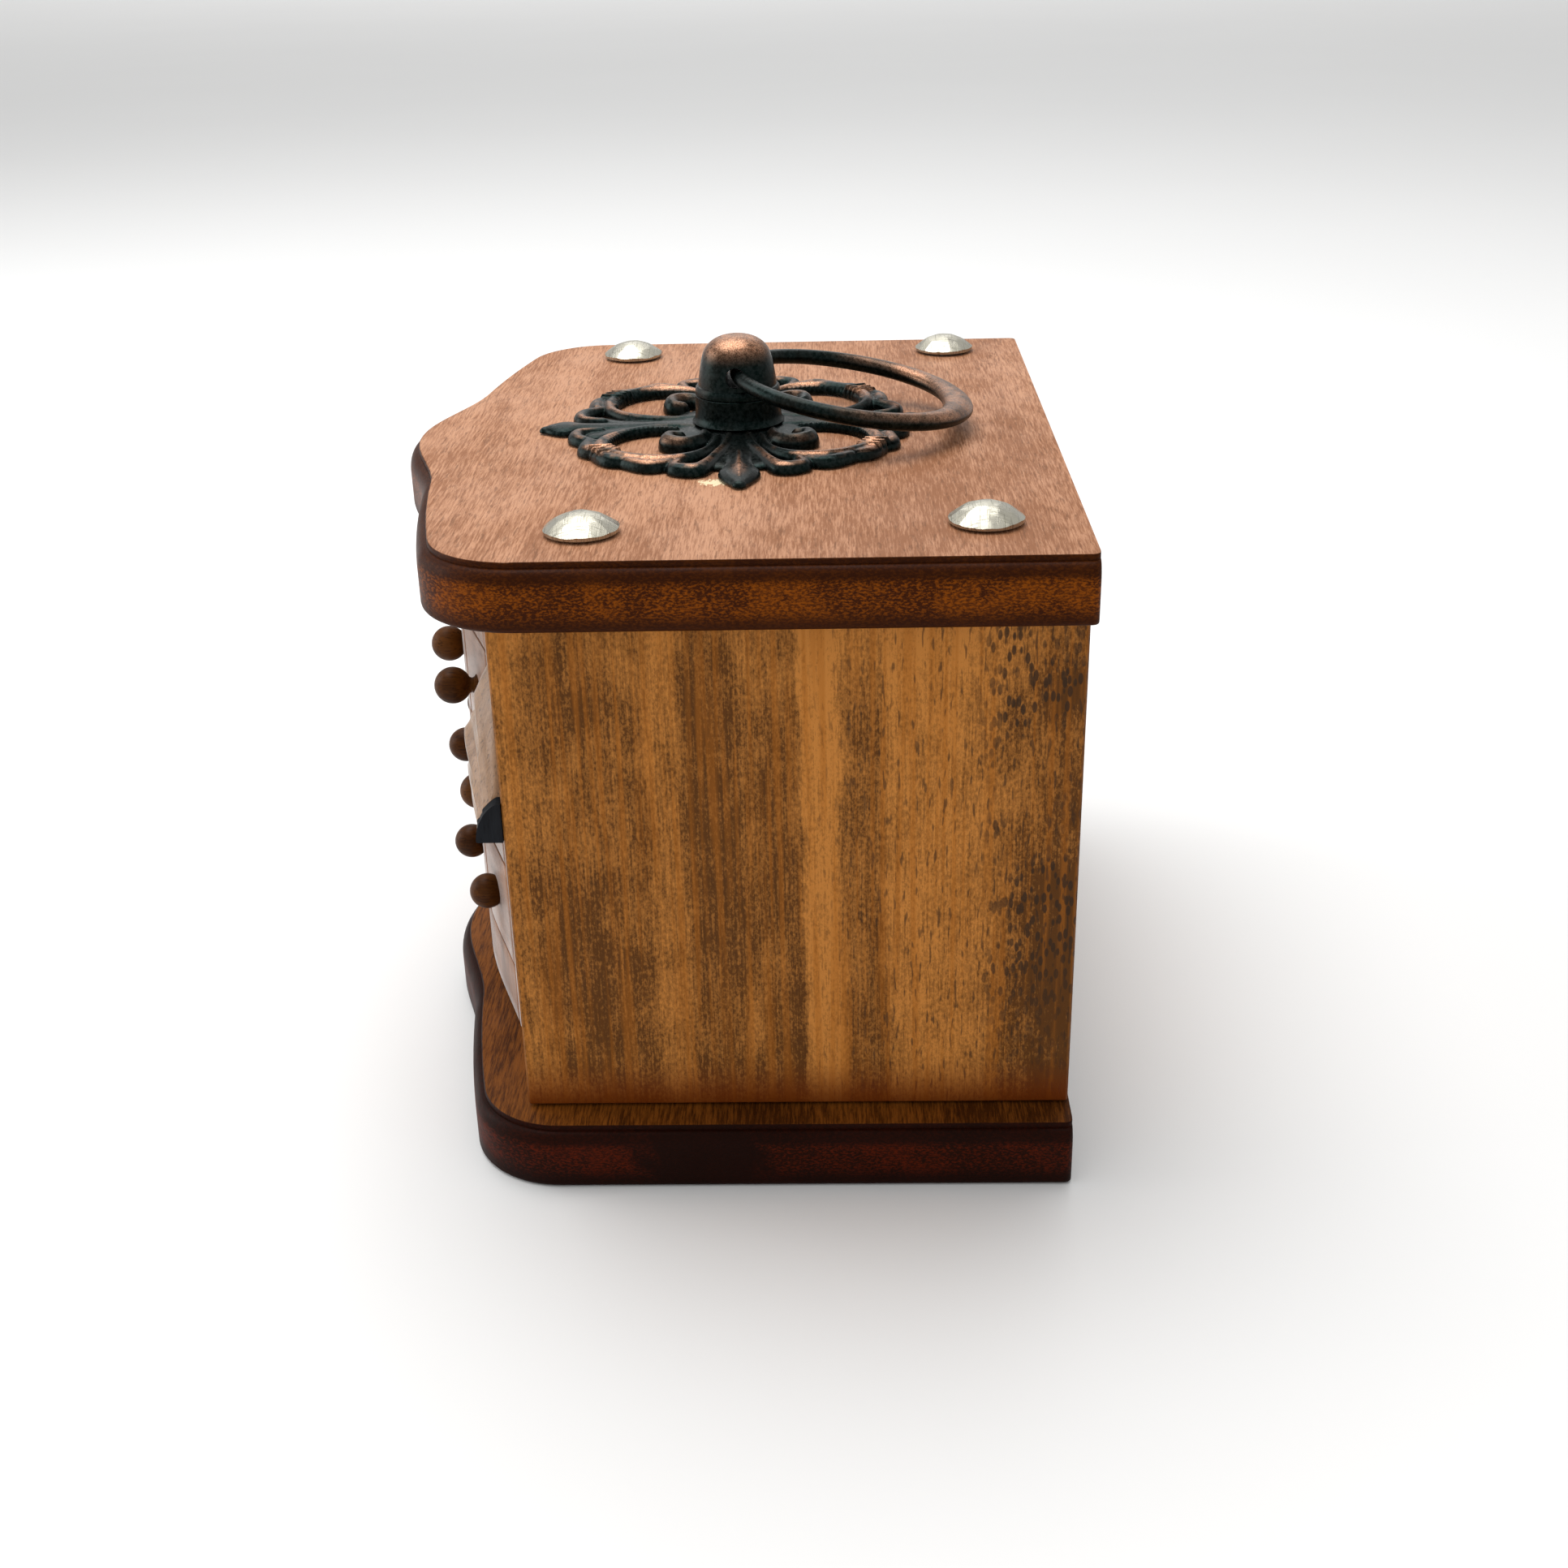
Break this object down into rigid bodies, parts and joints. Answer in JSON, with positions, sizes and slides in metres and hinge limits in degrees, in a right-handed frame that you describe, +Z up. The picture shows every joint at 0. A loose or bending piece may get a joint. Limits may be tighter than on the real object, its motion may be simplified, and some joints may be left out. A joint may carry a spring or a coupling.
{
  "type": "puzzle box",
  "caption": "Bow-fronted wooden puzzle box with three locking drawers, a hidden side tray, and a ring-pull lock on a serpentine top.",
  "frame": {"origin": "centre of the bounding box on the plane the base board stands on", "axes": "+X to the right seen from the drawer front, +Y towards the plain back, +Z up"},
  "size_m": [0.1312, 0.1016, 0.1132],
  "materials": {
    "top_board_wood": "satin reddish brown stain",
    "base_board_wood": "satin dark brown stain",
    "panel_wood": "satin golden brown stain",
    "front_wood": "satin brown stain",
    "carved_wood": "tooled, satin brown stain",
    "ebony": "black stain, matte",
    "inner_wood": "bare sanded",
    "knob_wood": "satin brown stain",
    "aged_bronze": "blackened, rubbed through to copper on the high spots",
    "nickel": "aged champagne nickel, hammered",
    "steel": "plain"
  },
  "bodies": {
    "carcass": {"base_board": "base_board_wood", "top_board": "top_board_wood", "side_panel_right": "panel_wood", "side_panel_left": "panel_wood", "back_panel": "panel_wood", "front_stile_right": "front_wood", "front_stile_left": "front_wood", "rail_bottom": "front_wood", "rail_top": "front_wood", "case_divider_right": "inner_wood", "case_divider_left": "inner_wood", "drawer_shelf_1": "inner_wood", "drawer_shelf_2": "inner_wood", "drawer_shelf_3": "inner_wood", "drawer_shelf_4": "inner_wood", "false_back": "inner_wood", "false_tray_face": "front_wood", "scroll_bracket_left": "carved_wood", "bracket_tip_left": "ebony", "hidden_tray_runner": "inner_wood", "escutcheon": "aged_bronze", "post_collar": "aged_bronze", "stud_front_right": "nickel", "stud_front_left": "nickel", "stud_rear_right": "nickel", "stud_rear_left": "nickel", "bar_keeper": "inner_wood"},
    "drawer_bottom": {"drawer_front_bottom": "front_wood", "drawer_tray_bottom": "inner_wood", "knob_bottom_1": "knob_wood", "knob_bottom_2": "knob_wood", "knob_bottom_3": "knob_wood", "knob_bottom_4": "knob_wood"},
    "drawer_middle": {"drawer_front_middle": "front_wood", "drawer_tray_middle": "inner_wood", "knob_middle_1": "knob_wood", "knob_middle_2": "knob_wood", "knob_middle_3": "knob_wood", "knob_middle_4": "knob_wood"},
    "drawer_top": {"drawer_front_top": "front_wood", "drawer_tray_top": "inner_wood", "knob_top_1": "knob_wood", "knob_top_2": "knob_wood", "knob_top_3": "knob_wood", "knob_top_4": "knob_wood"},
    "hidden_drawer": {"hidden_tray_face": "front_wood", "hidden_tray": "inner_wood", "scroll_bracket_right": "carved_wood", "bracket_tip_right": "ebony"},
    "post": {"ring_post": "aged_bronze", "lock_crank": "steel", "spindle_nut": "steel"},
    "ring": {"pull_ring": "aged_bronze"},
    "lock": {"lock_bar": "inner_wood", "lock_comb": "inner_wood"}
  },
  "joints": [
    {"name": "drawer_bottom_slide", "type": "slide", "parent": "carcass", "child": "drawer_bottom", "axis": [0, -1, 0], "range_m": [0, 0.045]},
    {"name": "drawer_middle_slide", "type": "slide", "parent": "carcass", "child": "drawer_middle", "axis": [0, -1, 0], "range_m": [0, 0.045]},
    {"name": "drawer_top_slide", "type": "slide", "parent": "carcass", "child": "drawer_top", "axis": [0, -1, 0], "range_m": [0, 0.045]},
    {"name": "hidden_drawer_slide", "type": "slide", "parent": "carcass", "child": "hidden_drawer", "axis": [0, -1, 0], "range_m": [0, 0.032]},
    {"name": "ring_post_turn", "type": "hinge", "parent": "carcass", "child": "post", "pos_m": [0, 0.0015, 0.104], "axis": [0, 0, -1], "range_deg": [0, 90]},
    {"name": "lock_slide", "type": "slide", "parent": "carcass", "child": "lock", "axis": [1, 0, 0], "range_m": [0, 0.00707]},
    {"name": "ring_swing", "type": "hinge", "parent": "post", "child": "ring", "pos_m": [0, 0.0015, 0.1076], "axis": [1, 0, 0], "range_deg": [0, 200]}
  ],
  "couplings": [
    {"joint": "lock_slide", "follows": "ring_post_turn", "m_per_rad": 0.0045016}
  ]
}
